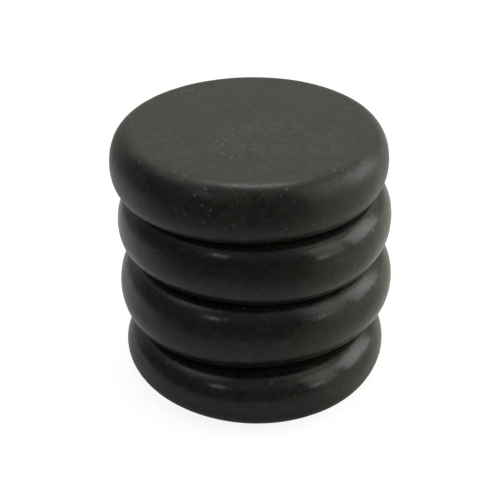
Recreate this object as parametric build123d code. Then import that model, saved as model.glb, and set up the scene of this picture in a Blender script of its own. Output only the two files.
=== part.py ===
from build123d import *
import os
from math import copysign, cos, pi, radians, sin, tan

# Four loose, hand-finished basalt massage stones, stacked. Each is one solid disc of rock with two
# flat faces and a rounded edge, lying on the stone below with nothing to hold it there.
# Millimetres, +Z up, +X to the right and +Y to the back. The origin is the centre of the face that
# the bottom stone rests on.

# The stones from the bottom up, with lengths in mm and angles in degrees:
#   radius   from the middle to the rim
#   edge     how far the rounded edge runs in, from the rim to the flat faces
#   square   how square the section of that edge is: 2 is an ellipse, and more is squarer
#   centre   where the middle of the stone lies, in X and Y
#   top      height of the upper face above the floor, at X = Y = 0
#   tilt     how much the upper face rises towards +X, and towards +Y
#   oval     how far the rim swells out twice a turn, and the angle of the first swelling
#   lobes    how far it swells out three times a turn, and the angle of the first swelling
STONES = {
    "bottom_stone": dict(
        radius=29.2, edge=6.4, square=2.0, centre=(0.0, 0.0), top=14.05, tilt=(2.0, 0.35),
        oval=(0.2, -12), lobes=(0.3, 33),
    ),
    "lower_middle_stone": dict(
        radius=30.7, edge=5.7, square=2.05, centre=(-0.2, 2.9), top=30.15, tilt=(1.65, -0.05),
        oval=(0.15, -37), lobes=(0.25, 5),
    ),
    "upper_middle_stone": dict(
        radius=30.15, edge=5.5, square=2.15, centre=(0.0, 2.2), top=45.35, tilt=(1.5, -0.25),
        oval=(0.3, 2), lobes=(0.5, 52),
    ),
    "top_stone": dict(
        radius=30.0, edge=5.2, square=2.1, centre=(-1.6, 1.2), top=60.1, tilt=(0.75, 0.0),
        oval=(0.4, 2), lobes=(0.2, -54),
    ),
}
FLOOR = dict(top=0.0, tilt=(0.0, 0.0))

# A stone is lofted through outlines: this many steps up from its lower face to its rim and as many
# from the rim to its upper face, with this many points in each outline.
EDGE_STEPS = 7
OUTLINE_POINTS = 24


def height(face, x, y):
    """Height of a flat face above the floor, at a point in plan."""
    rise_x, rise_y = face["tilt"]
    return face["top"] + x * tan(radians(rise_x)) + y * tan(radians(rise_y))


def swelling(stone, angle):
    """Radius at this angle in plan over the stone's mean radius."""
    amount = 0
    for times, (size, peak) in ((2, stone["oval"]), (3, stone["lobes"])):
        amount += size * cos(times * (angle - radians(peak)))
    return 1 + amount / stone["radius"]


def squared(stone, amount):
    """A sine or cosine of the turn round the edge, moved out towards a square corner."""
    return copysign(abs(amount) ** (2 / stone["square"]), amount)


def outline(stone, below, turn):
    """Closed level curve of a stone, where turn is the angle round its edge: -90 degrees is the
    border of the lower face, 0 is the rim and 90 is the border of the upper face."""
    reach = stone["radius"] - stone["edge"] * (1 - squared(stone, cos(turn)))
    share = (1 + squared(stone, sin(turn))) / 2
    points = []
    for step in range(OUTLINE_POINTS):
        angle = 2 * pi * step / OUTLINE_POINTS
        x = stone["centre"][0] + reach * swelling(stone, angle) * cos(angle)
        y = stone["centre"][1] + reach * swelling(stone, angle) * sin(angle)
        z = (1 - share) * height(below, x, y) + share * height(stone, x, y)
        points.append((x, y, z))
    return Wire([Edge.make_spline(points, periodic=True)])


def disc(stone, below):
    """One stone, from the face it lies on to its own upper face."""
    turns = [pi / 2 * step / EDGE_STEPS for step in range(-EDGE_STEPS, EDGE_STEPS + 1)]
    return Solid.make_loft([outline(stone, below, turn) for turn in turns])


def main():
    os.makedirs("parts", exist_ok=True)
    below = FLOOR
    for name, stone in STONES.items():
        solid = disc(stone, below)
        solid.label = name
        export_step(solid, f"parts/{name}.step")
        below = stone


main()
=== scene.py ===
import math

import bpy
import numpy as np
from mathutils import Matrix, Vector
from mathutils.bvhtree import BVHTree


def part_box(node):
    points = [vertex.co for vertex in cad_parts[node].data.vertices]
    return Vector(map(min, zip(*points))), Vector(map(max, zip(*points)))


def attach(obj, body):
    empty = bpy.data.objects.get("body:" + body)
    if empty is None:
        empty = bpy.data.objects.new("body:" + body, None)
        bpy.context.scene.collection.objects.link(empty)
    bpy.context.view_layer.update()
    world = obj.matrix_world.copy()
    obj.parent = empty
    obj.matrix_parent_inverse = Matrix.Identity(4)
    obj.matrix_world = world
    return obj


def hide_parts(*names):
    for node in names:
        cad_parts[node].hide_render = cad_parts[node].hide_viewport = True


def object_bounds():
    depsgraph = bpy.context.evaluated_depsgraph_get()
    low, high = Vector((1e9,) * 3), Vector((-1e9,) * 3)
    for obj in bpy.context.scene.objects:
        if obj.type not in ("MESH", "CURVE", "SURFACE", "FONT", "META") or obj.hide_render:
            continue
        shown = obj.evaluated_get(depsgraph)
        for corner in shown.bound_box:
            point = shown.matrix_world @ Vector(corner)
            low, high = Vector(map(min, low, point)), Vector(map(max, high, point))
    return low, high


MM = 0.001

# Camera: aimed at the middle of the stack, from the front and above.
CAMERA_RISE = 30.5              # degrees above the horizon
CAMERA_ROLL = 0.63              # degrees, clockwise as seen from behind the camera
CAMERA_DISTANCE = 350 * MM      # from the point it is aimed at
CAMERA_AIM = (-0.64 * MM, -0.52 * MM, -1.43 * MM)   # that point, from the middle of the CAD box
CAMERA_LENS = 111.7             # mm on a sensor 36 mm wide

# Mesh of a stone: an even grid laid in each flat face, and a band of quads round its edge.
FACE_CELLS = 128                # cells across a flat face, so the band has four times as many
BAND_ROWS = 60

# What polishing and use have done to a stone.
CROWN = 0.05 * MM               # how far an upper face falls away at its border
WAVES = (                       # longest and shortest wave, how many, and their height on faces and edge
    (22 * MM, 5 * MM, 14, 0.012 * MM, 0.04 * MM),
    (4 * MM, 1.5 * MM, 30, 0.0015 * MM, 0.012 * MM),
)
DENTS = 40                      # small shallow dents on a stone
DENT_RADIUS = (0.5 * MM, 1.5 * MM)
DENT_DEPTH = (0.02, 0.07)       # over the dent's radius
FLATNESS = 8                    # power of an upright normal that tells flat faces from the edge

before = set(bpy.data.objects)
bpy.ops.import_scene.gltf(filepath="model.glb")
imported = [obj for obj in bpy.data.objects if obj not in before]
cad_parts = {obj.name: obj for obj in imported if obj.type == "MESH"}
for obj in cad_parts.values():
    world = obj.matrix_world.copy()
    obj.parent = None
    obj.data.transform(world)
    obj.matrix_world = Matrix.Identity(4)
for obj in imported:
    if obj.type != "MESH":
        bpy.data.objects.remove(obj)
cad_low, cad_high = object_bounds()
middle = (cad_low + cad_high) / 2


# --- The stones' shape, read from the frame ---------------------------------------------------

class Stone:
    """A CAD stone as a smooth formula: two tilted planes, the outlines of their flat faces, the
    outline of the rim, and a rounded edge between them."""

    HARMONICS = 4               # an outline is a circle with this many waves round it
    ON_PLANE = 0.002 * MM       # CAD vertices this close to a plane are on the flat face's border
    PROBE = 10 * MM             # how far from the middle a face's slopes are measured
    RIM_DIRECTIONS = 360        # directions in which the rim is looked for
    RIM_LEVELS = (-1.5 * MM, -0.75 * MM, 0, 0.75 * MM, 1.5 * MM)    # heights, from the stone's middle
    BEND = (0.5, 0.9)           # the part of the edge that shows how square it is, over half its height
    POWERS = (1.5, 4, 0.005)    # lowest and highest power tried for that, and the step

    def __init__(self, node):
        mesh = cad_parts[node].data
        low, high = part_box(node)
        self.centre = np.array(((low + high) / 2)[:2])
        self.depth = high.z - low.z
        points = np.array([v.co for v in mesh.vertices])
        faces = [tuple(face.vertices) for face in mesh.polygons]
        tree = BVHTree.FromPolygons([v.co for v in mesh.vertices], faces)
        self.upper = self.plane(tree, high.z + self.depth, -1)
        self.lower = self.plane(tree, low.z - self.depth, 1)
        self.upper_edge = self.face_outline(points, self.upper)
        self.lower_edge = self.face_outline(points, self.lower)
        self.rim = self.rim_outline(tree, (low.z + high.z) / 2)
        self.square = self.squareness(points)

    def plane(self, tree, start, way):
        """Height at the stone's centre and slopes of the flat face that upright rays meet."""
        seen = []
        for dx, dy in ((0, 0), (self.PROBE, 0), (0, self.PROBE)):
            origin = Vector((self.centre[0] + dx, self.centre[1] + dy, start))
            seen.append(tree.ray_cast(origin, Vector((0, 0, way)))[0].z)
        return seen[0], (seen[1] - seen[0]) / self.PROBE, (seen[2] - seen[0]) / self.PROBE

    def height(self, plane, xy):
        """Height of a flat face at points in plan."""
        level, slope_x, slope_y = plane
        return level + (xy - self.centre) @ np.array((slope_x, slope_y))

    def waves(self, theta):
        """A constant, then the cosine and sine waves round the stone, at these angles."""
        turns = np.multiply.outer(theta, np.arange(1, self.HARMONICS + 1))
        return np.concatenate([np.ones_like(theta)[..., None], np.cos(turns), np.sin(turns)], axis=-1)

    def outline(self, xy):
        """Harmonics of the radius of an outline through these points."""
        out = xy - self.centre
        theta = np.arctan2(out[:, 1], out[:, 0])
        return np.linalg.lstsq(self.waves(theta), np.hypot(out[:, 0], out[:, 1]), rcond=None)[0]

    def face_outline(self, points, plane):
        """Outline of the CAD vertices that lie in a plane."""
        border = np.abs(points[:, 2] - self.height(plane, points[:, :2])) < self.ON_PLANE
        return self.outline(points[border, :2])

    def rim_outline(self, tree, level):
        """Outline of the furthest points that level rays reach, just above and below the middle."""
        seen = []
        for theta in np.linspace(0, 2 * math.pi, self.RIM_DIRECTIONS, endpoint=False):
            way = Vector((math.cos(theta), math.sin(theta), 0))
            starts = [Vector((*self.centre, level + step)) for step in self.RIM_LEVELS]
            seen.append(max((tree.ray_cast(start, way) for start in starts), key=lambda hit: hit[3])[0][:2])
        return self.outline(np.array(seen))

    def squareness(self, points):
        """Power n for which the edge's section is |x|**n + |z|**n = 1, over its width and height."""
        out = points[:, :2] - self.centre
        waves = self.waves(np.arctan2(out[:, 1], out[:, 0]))
        rim, upper, lower = waves @ self.rim, waves @ self.upper_edge, waves @ self.lower_edge
        floor, roof = self.height(self.lower, points[:, :2]), self.height(self.upper, points[:, :2])
        z = 2 * (points[:, 2] - floor) / (roof - floor) - 1
        x = 1 - (rim - np.hypot(out[:, 0], out[:, 1])) / (rim - np.where(z > 0, upper, lower))
        bend = (np.abs(z) > self.BEND[0]) & (np.abs(z) < self.BEND[1])
        powers = np.arange(*self.POWERS)
        misses = [np.median(np.abs(x[bend] ** n + np.abs(z[bend]) ** n - 1)) for n in powers]
        return powers[np.argmin(misses)]

    def squared(self, amount):
        """A sine or cosine of the turn round the edge, moved out towards a square corner."""
        return math.copysign(abs(amount) ** (2 / self.square), amount)

    def across(self, theta, share, top):
        """Points of a flat face, at a share of the way from its middle to its border."""
        edge, plane = (self.upper_edge, self.upper) if top else (self.lower_edge, self.lower)
        radius = share * (self.waves(theta) @ edge)
        xy = self.centre + radius[:, None] * np.stack([np.cos(theta), np.sin(theta)], axis=1)
        return np.column_stack([xy, self.height(plane, xy)])

    def around(self, theta, turn):
        """Points of the edge: turn runs from the lower face at -90 degrees to the upper at 90."""
        rim = self.waves(theta) @ self.rim
        edge = self.waves(theta) @ (self.upper_edge if turn > 0 else self.lower_edge)
        radius = rim - (rim - edge) * (1 - self.squared(math.cos(turn)))
        xy = self.centre + radius[:, None] * np.stack([np.cos(theta), np.sin(theta)], axis=1)
        share = (1 + self.squared(math.sin(turn))) / 2
        z = (1 - share) * self.height(self.lower, xy) + share * self.height(self.upper, xy)
        return np.column_stack([xy, z])


def disc_cells(cells):
    """Angle and share of the radius for each vertex of a square grid laid in a disc."""
    side = np.linspace(-1, 1, cells + 1)
    u, v = (a.ravel() for a in np.meshgrid(side, side, indexing="ij"))
    wide = np.abs(u) > np.abs(v)
    share = np.where(wide, u, v)
    ratio = np.where(wide, v, u) / np.where(share == 0, 1, share)
    theta = np.where(wide, math.pi / 4 * ratio, math.pi / 2 - math.pi / 4 * ratio)
    theta = np.where(share < 0, theta + math.pi, theta)
    return theta, np.abs(share)


def stone_mesh(name, stone):
    """Even quads over the whole stone, as a new mesh."""
    n = FACE_CELLS
    theta, share = disc_cells(n)
    index = np.arange((n + 1) ** 2).reshape(n + 1, n + 1)
    loop = np.concatenate([index[:-1, 0], index[-1, :-1], index[:0:-1, -1], index[0, :0:-1]])
    top, bottom = stone.across(theta, share, True), stone.across(theta, share, False)
    turns = np.linspace(math.pi / 2, -math.pi / 2, BAND_ROWS + 1)[1:-1]
    band = [stone.around(theta[loop], turn) for turn in turns]
    points = np.concatenate([top, bottom, *band])

    quads = np.stack([index[:-1, :-1], index[1:, :-1], index[1:, 1:], index[:-1, 1:]], axis=-1)
    quads = quads.reshape(-1, 4)
    faces = [quads, quads[:, ::-1] + len(top)]
    levels = [2 * len(top) + len(loop) * k + np.arange(len(loop)) for k in range(len(turns))]
    rows = [loop, *levels, loop + len(top)]
    for above, below in zip(rows, rows[1:]):
        faces.append(np.stack([above, below, np.roll(below, -1), np.roll(above, -1)], axis=-1))
    faces = np.concatenate(faces)

    mesh = bpy.data.meshes.new(name)
    mesh.from_pydata(points.tolist(), [], faces.tolist())
    mesh.validate()
    mesh.shade_smooth()
    return mesh


# --- What polishing and use have done to them --------------------------------------------------

def vectors(items, name):
    """One vector of each item of a mesh collection, as rows of an array."""
    flat = np.zeros(len(items) * 3, np.float32)
    items.foreach_get(name, flat)
    return flat.reshape(-1, 3).astype(float)


def ripple(points, rng, longest, shortest, count):
    """Smooth random relief between about -1 and 1, of waves in all directions."""
    total = np.zeros(len(points))
    weight = 0
    for wave in np.geomspace(longest, shortest, count):
        way = rng.normal(size=3)
        way *= 2 * math.pi / (wave * np.linalg.norm(way))
        total += wave * np.sin(points @ way + rng.uniform(0, 2 * math.pi))
        weight += wave
    return total * 2 / weight


def wear(mesh, stone, rng):
    """Crowns the upper face a little, and gives the stone its uneven hand-worn surface and dents. The
    lower face stays level on the stone below, so that no light shows between them."""
    points = vectors(mesh.vertices, "co")
    normals = vectors(mesh.vertex_normals, "vector")
    out = points[:, :2] - stone.centre
    theta = np.arctan2(out[:, 1], out[:, 0])
    share = np.hypot(out[:, 0], out[:, 1]) / (stone.waves(theta) @ stone.upper_edge)
    flat = np.clip(np.abs(normals[:, 2]), 0, 1) ** FLATNESS
    upper = flat * (normals[:, 2] > 0)
    sink = -CROWN * upper * np.clip(share, 0, 1.1) ** 4
    for longest, shortest, count, on_face, on_edge in WAVES:
        tall = on_edge * (1 - flat) + on_face * flat
        sink += tall * (ripple(points, rng, longest, shortest, count) - upper)
    for site in rng.choice(len(points), DENTS, replace=False):
        size = rng.uniform(*DENT_RADIUS)
        deep = rng.uniform(*DENT_DEPTH) * size
        near = np.linalg.norm(points - points[site], axis=1) / size
        sink -= deep * np.clip(1 - near ** 2, 0, 1) ** 2
    worn = points + normals * sink[:, None]
    mesh.vertices.foreach_set("co", worn.astype(np.float32).ravel())
    mesh.update()


# --- Basalt -------------------------------------------------------------------------------------

def add(tree, kind, inputs=(), **settings):
    """A node with its settings and inputs: a link if the value is a socket, else a constant."""
    node = tree.nodes.new("ShaderNode" + kind)
    for key, value in settings.items():
        setattr(node, key, value)
    for key, value in dict(inputs).items():
        if isinstance(value, bpy.types.NodeSocket):
            tree.links.new(value, node.inputs[key])
        else:
            node.inputs[key].default_value = value
    return node


def noise(tree, place, size, detail=3.0, rough=0.6):
    """Noise from 0 to 1 whose blotches are about this size in metres."""
    values = {"Vector": place, "Scale": 1 / size, "Detail": detail, "Roughness": rough}
    return add(tree, "TexNoise", values).outputs["Fac"]


def remap(tree, value, low, high, to_low=0.0, to_high=1.0):
    """Smoothly from one range to another, held at its ends."""
    values = {"Value": value, "From Min": low, "From Max": high, "To Min": to_low, "To Max": to_high}
    return add(tree, "MapRange", values, interpolation_type="SMOOTHSTEP").outputs["Result"]


def calc(tree, operation, *numbers):
    """A sum, product or comparison of numbers."""
    return add(tree, "Math", enumerate(numbers), operation=operation).outputs[0]


def vector(tree, operation, *vectors, result=0):
    """A sum, product or length of vectors."""
    return add(tree, "VectorMath", enumerate(vectors), operation=operation).outputs[result]


def mix(tree, factor, a, b):
    """A blend of two colours."""
    return add(tree, "Mix", {"Factor": factor, 6: a, 7: b}, data_type="RGBA").outputs[2]


def blend(tree, factor, a, b):
    """A blend of two numbers."""
    return add(tree, "Mix", {"Factor": factor, 2: a, 3: b}).outputs[0]


def grains(tree, place, spacing, radius, share):
    """1 inside scattered grains of about this radius, in metres, of which only a share are there."""
    cells = add(tree, "TexVoronoi", {"Vector": place, "Scale": 1 / spacing})
    size = radius / spacing
    inside = remap(tree, cells.outputs["Distance"], 0.6 * size, 1.1 * size, 1.0, 0.0)
    chance = add(tree, "SeparateColor", {"Color": cells.outputs["Color"]}).outputs[0]
    return calc(tree, "MULTIPLY", inside, calc(tree, "LESS_THAN", chance, share))


def new_tree(owner):
    """The empty node tree of a material or a world."""
    owner.use_nodes = True
    owner.node_tree.nodes.clear()
    return owner.node_tree


# Colours of the rock and of what is in it.
COOL_ROCK = (0.0035, 0.0068, 0.0066, 1)
WARM_ROCK = (0.0126, 0.0112, 0.0087, 1)
FLECK = (0.026, 0.025, 0.021, 1)
GRAIN = (0.036, 0.036, 0.032, 1)
STAIN = (0.029, 0.027, 0.019, 1)
SPECK = (0.110, 0.109, 0.100, 1)
PORE = (0.003, 0.003, 0.003, 1)

WOBBLE = (0.7 * MM, 0.8 * MM)   # size of the wobble in the outlines of specks and stains, and its amount
SPECKS = (1.9 * MM, 0.41 * MM)  # spacing and radius
DUST = (0.9 * MM, 0.23 * MM)
PORES = (1.3 * MM, 0.20 * MM)
PORE_SHARE = 0.3                # share of the pores that are there
BUMP = 0.016 * MM               # depth of the pores and grain in the polish
IOR = 1.55


def rich_spots(tree, where, spots):
    """1 in the middle of each spot, falling to 0 at its radius."""
    richness = 0.0
    for centre, radius in spots:
        away = vector(tree, "DISTANCE", where, centre, result="Value")
        richness = calc(tree, "MAXIMUM", richness, remap(tree, away, 0.5 * radius, radius, 1.0, 0.0))
    return richness


def basalt(name, shift, specks, polish, spots):
    """Fine-grained dark basalt with a satin hand polish: flecks of paler grey, brownish stains, pale
    mineral specks in clusters, and small pores. Specks is the share of grains that are pale, polish is
    the roughness of its smooth patches and of its rough ones, and spots is the centre and radius of
    each spot with far more specks and stains."""
    material = bpy.data.materials.new(name)
    tree = new_tree(material)
    where = add(tree, "TexCoord").outputs["Object"]
    place = add(tree, "Mapping", {"Vector": where, "Location": shift}).outputs["Vector"]
    size, amount = WOBBLE
    wobble = add(tree, "TexNoise", {"Vector": place, "Scale": 1 / size, "Detail": 2.0}).outputs["Color"]
    bent = vector(tree, "ADD", place, vector(tree, "MULTIPLY", wobble, (amount,) * 3))
    richness = rich_spots(tree, where, spots)

    # The rock itself: soft clouds of cool and warm grey, with paler flecks, grain and stains.
    cloud = remap(tree, noise(tree, place, 6 * MM, 4.0), 0.38, 0.62)
    fleck = remap(tree, noise(tree, place, 1.3 * MM, 5.0, 0.7), 0.42, 0.68)
    grain = noise(tree, place, 0.36 * MM, 2.0)
    stain = noise(tree, bent, 2.5 * MM, 4.0, 0.65)
    stain = calc(tree, "ADD", stain, calc(tree, "MULTIPLY", richness, 0.08))
    colour = mix(tree, cloud, COOL_ROCK, WARM_ROCK)
    colour = mix(tree, calc(tree, "MULTIPLY", fleck, 0.65), colour, FLECK)
    colour = mix(tree, remap(tree, grain, 0.5, 0.8, 0.0, 0.25), colour, GRAIN)
    colour = mix(tree, remap(tree, stain, 0.50, 0.64, 0.0, 0.7), colour, STAIN)

    # Pale specks and finer dust, faint outside their clusters, and dark pores.
    cluster = remap(tree, noise(tree, place, 8 * MM, 2.0), 0.44, 0.60, 0.12, 1.0)
    cluster = calc(tree, "MAXIMUM", cluster, richness)
    share = calc(tree, "ADD", specks, calc(tree, "MULTIPLY", richness, 0.35))
    speck = grains(tree, bent, *SPECKS, share)
    dust = grains(tree, bent, *DUST, calc(tree, "MULTIPLY", share, 0.8))
    pale = calc(tree, "MAXIMUM", speck, calc(tree, "MULTIPLY", dust, 0.7))
    pale = calc(tree, "MULTIPLY", pale, cluster)
    pore = grains(tree, bent, *PORES, PORE_SHARE)
    colour = mix(tree, calc(tree, "MULTIPLY", pale, 0.8), colour, SPECK)
    colour = mix(tree, pore, colour, PORE)

    # The polish: smooth and rough patches, hand smears, and duller specks and pores.
    patches = remap(tree, noise(tree, place, 0.8 * MM, 4.0, 0.7), 0.38, 0.62, *polish)
    smear = remap(tree, noise(tree, place, 9 * MM, 3.0), 0.3, 0.7, 0.0, 0.05)
    dull = calc(tree, "MULTIPLY", calc(tree, "MAXIMUM", pore, pale), 0.2)
    gloss = calc(tree, "ADD", calc(tree, "ADD", patches, smear), dull)

    relief = calc(tree, "MULTIPLY", grain, 0.15)
    relief = calc(tree, "ADD", relief, calc(tree, "MULTIPLY", fleck, 0.25))
    relief = calc(tree, "SUBTRACT", relief, pore)
    bump = add(tree, "Bump", {"Height": relief, "Strength": 1.0, "Distance": BUMP}).outputs["Normal"]

    values = {"Base Color": colour, "Roughness": gloss, "Normal": bump, "IOR": IOR}
    shader = add(tree, "BsdfPrincipled", values)
    add(tree, "OutputMaterial", {"Surface": shader.outputs["BSDF"]})
    return material


# From the bottom up: where in the rock each stone was cut, the share of its grains that are pale,
# how smooth and how rough its polish is, and its spots rich in pale grains.
ROCKS = {
    "bottom_stone": ((0.00, 0.00, 0.00), 0.14, (0.13, 0.23), ()),
    "lower_middle_stone": ((0.31, 0.12, 0.00), 0.14, (0.14, 0.26), ()),
    "upper_middle_stone": ((0.07, 0.45, 0.00), 0.16, (0.13, 0.23), ()),
    "top_stone": ((0.22, 0.27, 0.40), 0.35, (0.28, 0.36), (
        ((0 * MM, -4 * MM, 60 * MM), 14 * MM),
        ((13 * MM, -8 * MM, 60 * MM), 8 * MM),
        ((-9 * MM, -28 * MM, 54 * MM), 11 * MM),
    )),
}

for seed, (node, rock) in enumerate(ROCKS.items()):
    stone = Stone(node)
    mesh = stone_mesh("polished_" + node, stone)
    wear(mesh, stone, np.random.default_rng(seed))
    piece = bpy.data.objects.new("polished_" + node, mesh)
    bpy.context.scene.collection.objects.link(piece)
    piece.data.materials.append(basalt("basalt_" + node, *rock))
    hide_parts(node)
    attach(piece, node)


# --- Floor, surroundings and lights ---------------------------------------------------------------

PALE = (0.90, 0.90, 0.89, 1)
WHITE = (1.0, 1.0, 1.0, 1)
OLIVE = (1.0, 1.02, 0.89, 1)    # tint of the light from behind and the right
FLOOR_HALF = 6.0                # metres from the middle to a side
FLOOR_GLOW = 1.28               # how bright the camera sees the floor's own light,
GLOW_SHARE = 0.7                # and how much of the floor is that, rather than plain paper
BACKDROP = 1.12                 # how bright the camera sees the backdrop


def seen_by_camera(tree, output, others, camera):
    """Shows one shader to the camera and the other to the stones, for a material or a world."""
    rays = add(tree, "LightPath").outputs["Is Camera Ray"]
    both = add(tree, "MixShader", {0: rays, 1: others.outputs[0], 2: camera.outputs[0]})
    add(tree, output, {"Surface": both.outputs[0]})


def floor_paper():
    """Pale paper for the camera. The stones see it as it would be with light from overhead and the
    right: dimmer on the left and in front, and dark in the shadow round the foot of the stack."""
    material = bpy.data.materials.new("floor_paper")
    tree = new_tree(material)
    where = add(tree, "TexCoord").outputs["Object"]
    out = vector(tree, "MULTIPLY", where, (1, 1, 0))
    distance = vector(tree, "LENGTH", out, result="Value")
    way = add(tree, "SeparateXYZ", {"Vector": vector(tree, "NORMALIZE", out)})
    right, back = way.outputs[0], way.outputs[1]

    # Light of the floor on the left, on the right, behind and in front, by distance from the stack.
    on_left = remap(tree, distance, 110 * MM, 300 * MM, 0.47, 0.16)
    on_left = calc(tree, "MULTIPLY", on_left, remap(tree, distance, 50 * MM, 115 * MM, 0.75, 1.0))
    on_right = remap(tree, distance, 60 * MM, 250 * MM, 0.52, 0.62)
    level = blend(tree, remap(tree, right, -1.0, 1.0), on_left, on_right)
    level = calc(tree, "ADD", level, remap(tree, back, -0.1, 0.5, 0.0, 0.12))
    in_front = calc(tree, "ADD", back, calc(tree, "MULTIPLY", right, 0.25))
    near_front = remap(tree, distance, 50 * MM, 130 * MM, 0.32, 0.12)
    level = blend(tree, remap(tree, in_front, -0.15, -0.85), level, near_front)
    shade = remap(tree, distance, 26 * MM, 38 * MM, 0.35, 1.0)
    level = calc(tree, "MULTIPLY", level, shade)
    tint = mix(tree, remap(tree, right, 0.0, 0.8), WHITE, OLIVE)
    dim = add(tree, "Emission", {"Color": tint, "Strength": level})

    paper = add(tree, "BsdfDiffuse", {"Color": PALE})
    glow = add(tree, "Emission", {"Color": (1, 1, 0.995, 1), "Strength": FLOOR_GLOW})
    bright = add(tree, "MixShader", {0: GLOW_SHARE, 1: paper.outputs[0], 2: glow.outputs[0]})
    seen_by_camera(tree, "OutputMaterial", dim, bright)
    return material


floor_mesh = bpy.data.meshes.new("floor")
corners = [(x * FLOOR_HALF, y * FLOOR_HALF, cad_low.z) for x, y in ((-1, -1), (1, -1), (1, 1), (-1, 1))]
floor_mesh.from_pydata(corners, [], [(0, 1, 2, 3)])
floor_mesh.materials.append(floor_paper())
floor = bpy.data.objects.new("floor", floor_mesh)
bpy.context.scene.collection.objects.link(floor)


# Two darker patches in the room, between the light overhead and the window and behind the stack on
# the left: the way to each, the cosines of the angles from it at which the room starts to darken and
# is darkest, and how much of its light is left there.
GAPS = (
    ((0.50, 0.04, 0.866), 0.84, 0.98, 0.62),
    ((-0.74, 0.39, 0.545), 0.93, 0.985, 0.55),
)


def surroundings():
    """A pale backdrop for the camera. The stones see a dim room: brighter overhead and to the right
    than low on the left, with two darker patches, and dark in front, except high up on the left."""
    world = bpy.data.worlds.new("studio")
    tree = new_tree(world)
    toward = add(tree, "TexCoord").outputs["Generated"]
    way = add(tree, "SeparateXYZ", {"Vector": toward})
    right, back, up = way.outputs[0], way.outputs[1], way.outputs[2]

    around = remap(tree, up, 0.15, 1.2, 0.42, 1.3)
    around = calc(tree, "MULTIPLY", around, remap(tree, right, -0.8, 0.8, 0.88, 1.13))
    for gap, start, full, left in GAPS:
        beside = vector(tree, "DOT_PRODUCT", toward, gap, result="Value")
        around = calc(tree, "MULTIPLY", around, remap(tree, beside, start, full, 1.0, left))

    leftward = calc(tree, "SUBTRACT", up, calc(tree, "MULTIPLY", right, 0.6))
    front = remap(tree, up, 0.40, 0.70, 0.10, 0.21)
    front = calc(tree, "ADD", front, remap(tree, leftward, 1.07, 1.2, 0.0, 0.9))
    forward = calc(tree, "ADD", calc(tree, "MULTIPLY", right, -0.5), calc(tree, "MULTIPLY", back, -0.87))
    in_front = remap(tree, forward, -0.25, 0.3)

    level = blend(tree, in_front, around, front)
    room = add(tree, "Background", {"Color": mix(tree, in_front, OLIVE, WHITE), "Strength": level})
    backdrop = add(tree, "Background", {"Color": PALE, "Strength": BACKDROP})
    seen_by_camera(tree, "OutputWorld", room, backdrop)
    return world


bpy.context.scene.world = surroundings()

# Soft lights round the stack, all seen from it in degrees: azimuth, where 0 is behind it and 90 to the
# right, rise, width and height, then radiance and colour.
LIGHTS = {
    "window_near": (78, 21, 36, 35, 1.45, WHITE[:3]),
    "window_near_bright": (79, 17, 18, 20, 0.6, WHITE[:3]),
    "window_far": (119, 26, 26, 42, 0.7, (1.0, 1.02, 0.88)),
    "window_far_bright": (126, 12, 9, 7, 1.4, WHITE[:3]),
    "overhead": (0, 87, 24, 16, 4.0, WHITE[:3]),
    "small_left": (-141, 33, 8, 8, 2.4, WHITE[:3]),
}
LIGHT_DISTANCE = 0.8            # metres from the middle of the stack


def softbox(name, azimuth, rise, wide, tall, radiance, colour):
    """A rectangular light that faces the stack."""
    turn, lift = math.radians(azimuth), math.radians(rise)
    way = Vector((math.sin(turn) * math.cos(lift), math.cos(turn) * math.cos(lift), math.sin(lift)))
    light = bpy.data.lights.new(name, "AREA")
    light.shape = "RECTANGLE"
    light.size = 2 * LIGHT_DISTANCE * math.tan(math.radians(wide) / 2)
    light.size_y = 2 * LIGHT_DISTANCE * math.tan(math.radians(tall) / 2)
    light.energy = radiance * math.pi * light.size * light.size_y
    light.color = colour
    lamp = bpy.data.objects.new(name, light)
    lamp.location = middle + way * LIGHT_DISTANCE
    lamp.rotation_mode = "QUATERNION"
    lamp.rotation_quaternion = way.to_track_quat("Z", "Y")
    lamp.visible_camera = False
    bpy.context.scene.collection.objects.link(lamp)


for name, light in LIGHTS.items():
    softbox(name, *light)


# --- Camera ---------------------------------------------------------------------------------------

rise = math.radians(CAMERA_RISE)
away = Vector((0, -math.cos(rise), math.sin(rise)))
camera_data = bpy.data.cameras.new("camera")
camera_data.lens = CAMERA_LENS
camera = bpy.data.objects.new("camera", camera_data)
bpy.context.scene.collection.objects.link(camera)
roll = Matrix.Rotation(math.radians(CAMERA_ROLL), 3, "Z")
turned = away.to_track_quat("Z", "Y").to_matrix() @ roll
stand = middle + Vector(CAMERA_AIM) + away * CAMERA_DISTANCE
camera.matrix_world = Matrix.Translation(stand) @ turned.to_4x4()
bpy.context.scene.camera = camera
bpy.context.scene.view_settings.view_transform = "Standard"
